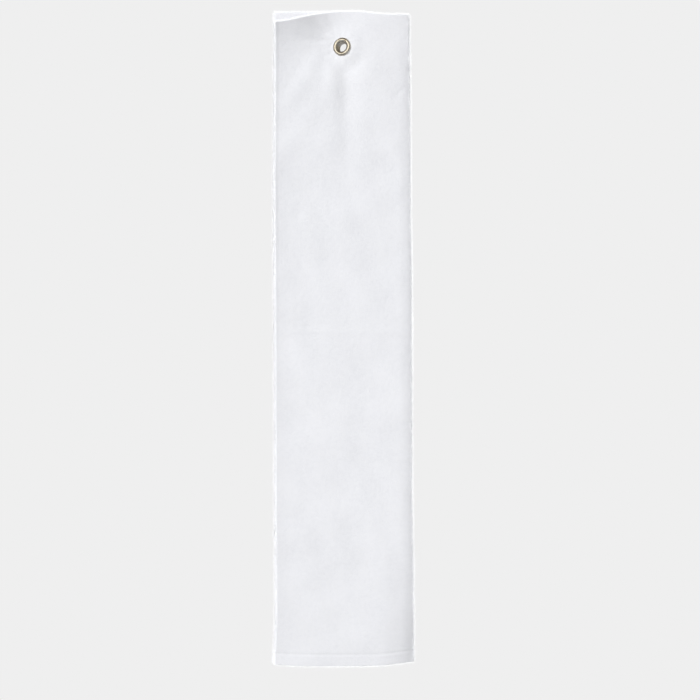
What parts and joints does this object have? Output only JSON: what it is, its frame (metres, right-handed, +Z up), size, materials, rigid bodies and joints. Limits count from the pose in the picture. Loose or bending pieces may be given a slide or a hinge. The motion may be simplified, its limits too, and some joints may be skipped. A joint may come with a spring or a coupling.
{
  "type": "golf towel",
  "caption": "Tri-fold hemmed terry towel with a metal hanging eye near its top edge that pins the layers; the outer layers lift off as flaps.",
  "frame": {"origin": "centre of the hanging eye, half-way through the folded layers", "axes": "+Z up along the hanging towel, -Y the front of the towel, +X its right-hand side seen from the front"},
  "size_m": [0.1344, 0.0111, 0.635],
  "materials": {
    "terry": "white cotton terry, sheared velour pile on the front, loops on the reverse",
    "thread": "white cotton sewing thread",
    "nickel": "nickel-plated brass with a warm polish"
  },
  "bodies": {
    "hung_body": {"grommet_eyelet": "nickel", "grommet_washer": "nickel", "front_panel": "terry", "front_top_hem": "terry", "front_top_stitching": "thread", "right_fold": "terry", "middle_panel": "terry", "middle_top_hem": "terry", "middle_top_stitching": "thread", "middle_foot_hem": "terry", "middle_foot_stitching": "thread", "left_fold": "terry", "back_panel": "terry", "back_top_hem": "terry", "back_top_stitching": "thread"},
    "front_flap": {"front_flap_panel": "terry", "front_flap_top_hem": "terry", "front_flap_top_stitching": "thread", "front_flap_side_hem": "terry", "front_flap_side_stitching": "thread", "front_flap_foot_hem": "terry", "front_flap_foot_stitching": "thread"},
    "back_flap": {"back_flap_panel": "terry", "back_flap_top_hem": "terry", "back_flap_top_stitching": "thread", "back_flap_side_hem": "terry", "back_flap_side_stitching": "thread", "back_flap_foot_hem": "terry", "back_flap_foot_stitching": "thread"}
  },
  "joints": [
    {"name": "front_flap_turn", "type": "hinge", "parent": "hung_body", "child": "front_flap", "pos_m": [-0.02, -0.0046, 0.0345], "axis": [-0.1188, 0, 0.9929], "range_deg": [0, 150]},
    {"name": "back_flap_turn", "type": "hinge", "parent": "hung_body", "child": "back_flap", "pos_m": [0.02, 0.0046, 0.0345], "axis": [0.1188, 0, 0.9929], "range_deg": [0, 150]}
  ]
}
